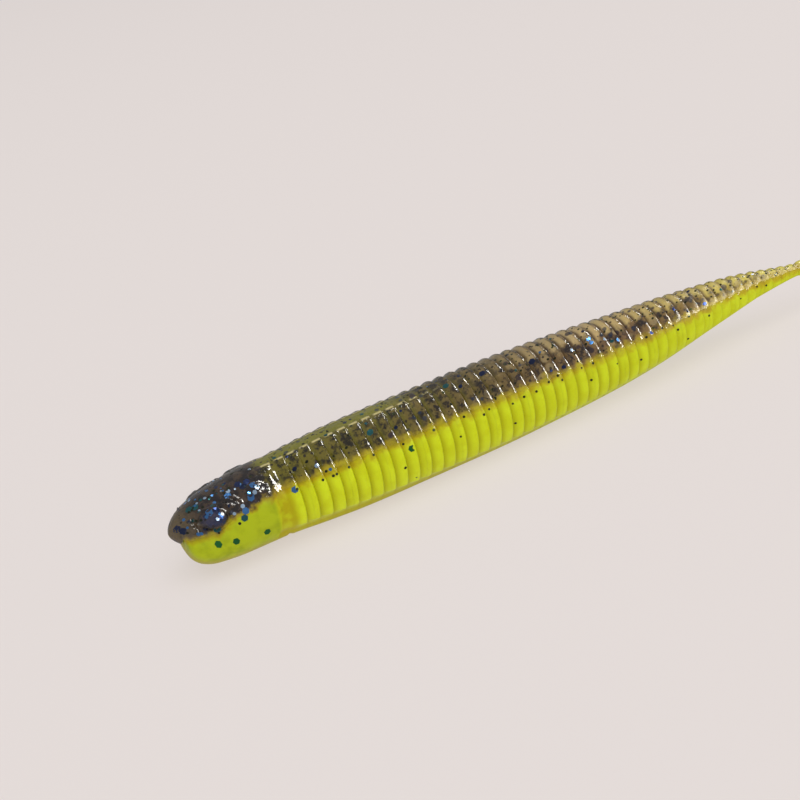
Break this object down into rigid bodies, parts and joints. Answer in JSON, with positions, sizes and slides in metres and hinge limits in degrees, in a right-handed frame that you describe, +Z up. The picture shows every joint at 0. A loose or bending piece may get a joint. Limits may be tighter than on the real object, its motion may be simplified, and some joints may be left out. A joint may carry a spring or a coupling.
{
  "type": "soft plastic fishing worm",
  "caption": "Ringed soft fishing worm with a snake-like head and a thin tapering tail, dark back over a bright belly, hinged at its rib grooves so that it bends sideways, up and down.",
  "frame": {"origin": "under the middle of the length, at the height of the flat belly the lure rests on", "axes": "+X along the body from the snout to the tip of the tail, +Y to the side, +Z up through the back"},
  "size_m": [0.1, 0.0112, 0.0108],
  "materials": {
    "back_plastic": "glossy translucent brown-olive soft plastic with blue, green and black flakes",
    "belly_plastic": "satin chartreuse soft plastic with a few green and black flakes"
  },
  "bodies": {
    "head": {"head_back": "back_plastic", "head_belly": "belly_plastic"},
    "ribs_01": {"ribs_01_back": "back_plastic", "ribs_01_belly": "belly_plastic"},
    "ribs_02": {"ribs_02_back": "back_plastic", "ribs_02_belly": "belly_plastic"},
    "ribs_03": {"ribs_03_back": "back_plastic", "ribs_03_belly": "belly_plastic"},
    "ribs_04": {"ribs_04_back": "back_plastic", "ribs_04_belly": "belly_plastic"},
    "ribs_05": {"ribs_05_back": "back_plastic", "ribs_05_belly": "belly_plastic"},
    "ribs_06": {"ribs_06_back": "back_plastic", "ribs_06_belly": "belly_plastic"},
    "ribs_07": {"ribs_07_back": "back_plastic", "ribs_07_belly": "belly_plastic"},
    "ribs_08": {"ribs_08_back": "back_plastic", "ribs_08_belly": "belly_plastic"},
    "ribs_09": {"ribs_09_back": "back_plastic", "ribs_09_belly": "belly_plastic"},
    "ribs_10": {"ribs_10_back": "back_plastic", "ribs_10_belly": "belly_plastic"},
    "ribs_11": {"ribs_11_back": "back_plastic", "ribs_11_belly": "belly_plastic"},
    "ribs_12": {"ribs_12_back": "back_plastic", "ribs_12_belly": "belly_plastic"},
    "ribs_13": {"ribs_13_back": "back_plastic", "ribs_13_belly": "belly_plastic"},
    "ribs_14": {"ribs_14_back": "back_plastic", "ribs_14_belly": "belly_plastic"},
    "ribs_15": {"ribs_15_back": "back_plastic", "ribs_15_belly": "belly_plastic"},
    "tail": {"tail_back": "back_plastic", "tail_belly": "belly_plastic"}
  },
  "joints": [
    {"name": "neck_swing", "type": "hinge", "parent": "head", "child": "ribs_01", "pos_m": [-0.037, 0, 0.0052], "axis": [0.001, 0.001, 1], "range_deg": [-25, 25], "stiffness_Nm_per_rad": 0.00186},
    {"name": "groove_03_nod", "type": "hinge", "parent": "ribs_01", "child": "ribs_02", "pos_m": [-0.03158, 0, 0.0052], "axis": [0.001, -1, 0.001], "range_deg": [-15, 15], "stiffness_Nm_per_rad": 0.00248},
    {"name": "groove_06_swing", "type": "hinge", "parent": "ribs_02", "child": "ribs_03", "pos_m": [-0.02666, 0, 0.0052], "axis": [0.001, 0.001, 1], "range_deg": [-25, 25], "stiffness_Nm_per_rad": 0.00297},
    {"name": "groove_09_swing", "type": "hinge", "parent": "ribs_03", "child": "ribs_04", "pos_m": [-0.02174, 0, 0.0052], "axis": [0.001, 0.001, 1], "range_deg": [-25, 25], "stiffness_Nm_per_rad": 0.00311},
    {"name": "groove_12_nod", "type": "hinge", "parent": "ribs_04", "child": "ribs_05", "pos_m": [-0.01682, 0, 0.0052], "axis": [0.001, -1, 0.001], "range_deg": [-15, 15], "stiffness_Nm_per_rad": 0.00316},
    {"name": "groove_15_swing", "type": "hinge", "parent": "ribs_05", "child": "ribs_06", "pos_m": [-0.0119, 0, 0.0052], "axis": [0.001, 0.001, 1], "range_deg": [-25, 25], "stiffness_Nm_per_rad": 0.00319},
    {"name": "groove_18_swing", "type": "hinge", "parent": "ribs_06", "child": "ribs_07", "pos_m": [-0.00698, 0, 0.0052], "axis": [0.001, 0.001, 1], "range_deg": [-25, 25], "stiffness_Nm_per_rad": 0.00311},
    {"name": "groove_21_nod", "type": "hinge", "parent": "ribs_07", "child": "ribs_08", "pos_m": [-0.00206, 0, 0.0052], "axis": [0.001, -1, 0.001], "range_deg": [-15, 15], "stiffness_Nm_per_rad": 0.00279},
    {"name": "groove_24_swing", "type": "hinge", "parent": "ribs_08", "child": "ribs_09", "pos_m": [0.00286, 0, 0.0052], "axis": [0.001, 0.001, 1], "range_deg": [-25, 25], "stiffness_Nm_per_rad": 0.00241},
    {"name": "groove_27_swing", "type": "hinge", "parent": "ribs_09", "child": "ribs_10", "pos_m": [0.00778, 0, 0.0052], "axis": [0.001, 0.001, 1], "range_deg": [-25, 25], "stiffness_Nm_per_rad": 0.00197},
    {"name": "groove_30_nod", "type": "hinge", "parent": "ribs_10", "child": "ribs_11", "pos_m": [0.0127, 0, 0.00523], "axis": [0.001, -1, 0.001], "range_deg": [-15, 15], "stiffness_Nm_per_rad": 0.00147},
    {"name": "groove_33_swing", "type": "hinge", "parent": "ribs_11", "child": "ribs_12", "pos_m": [0.01762, 0, 0.0054], "axis": [0.001, 0.001, 1], "range_deg": [-25, 25], "stiffness_Nm_per_rad": 0.00101},
    {"name": "groove_36_swing", "type": "hinge", "parent": "ribs_12", "child": "ribs_13", "pos_m": [0.02254, 0, 0.00565], "axis": [0.001, 0.001, 1], "range_deg": [-25, 25], "stiffness_Nm_per_rad": 0.000564},
    {"name": "groove_39_nod", "type": "hinge", "parent": "ribs_13", "child": "ribs_14", "pos_m": [0.02746, 0, 0.0059], "axis": [0.001, -1, 0.001], "range_deg": [-15, 15], "stiffness_Nm_per_rad": 0.000259},
    {"name": "groove_42_swing", "type": "hinge", "parent": "ribs_14", "child": "ribs_15", "pos_m": [0.03238, 0, 0.00604], "axis": [0.001, 0.001, 1], "range_deg": [-25, 25], "stiffness_Nm_per_rad": 0.0000905},
    {"name": "groove_45_swing", "type": "hinge", "parent": "ribs_15", "child": "tail", "pos_m": [0.0373, 0, 0.00592], "axis": [0.001, 0.001, 1], "range_deg": [-25, 25], "stiffness_Nm_per_rad": 0.0000182}
  ]
}
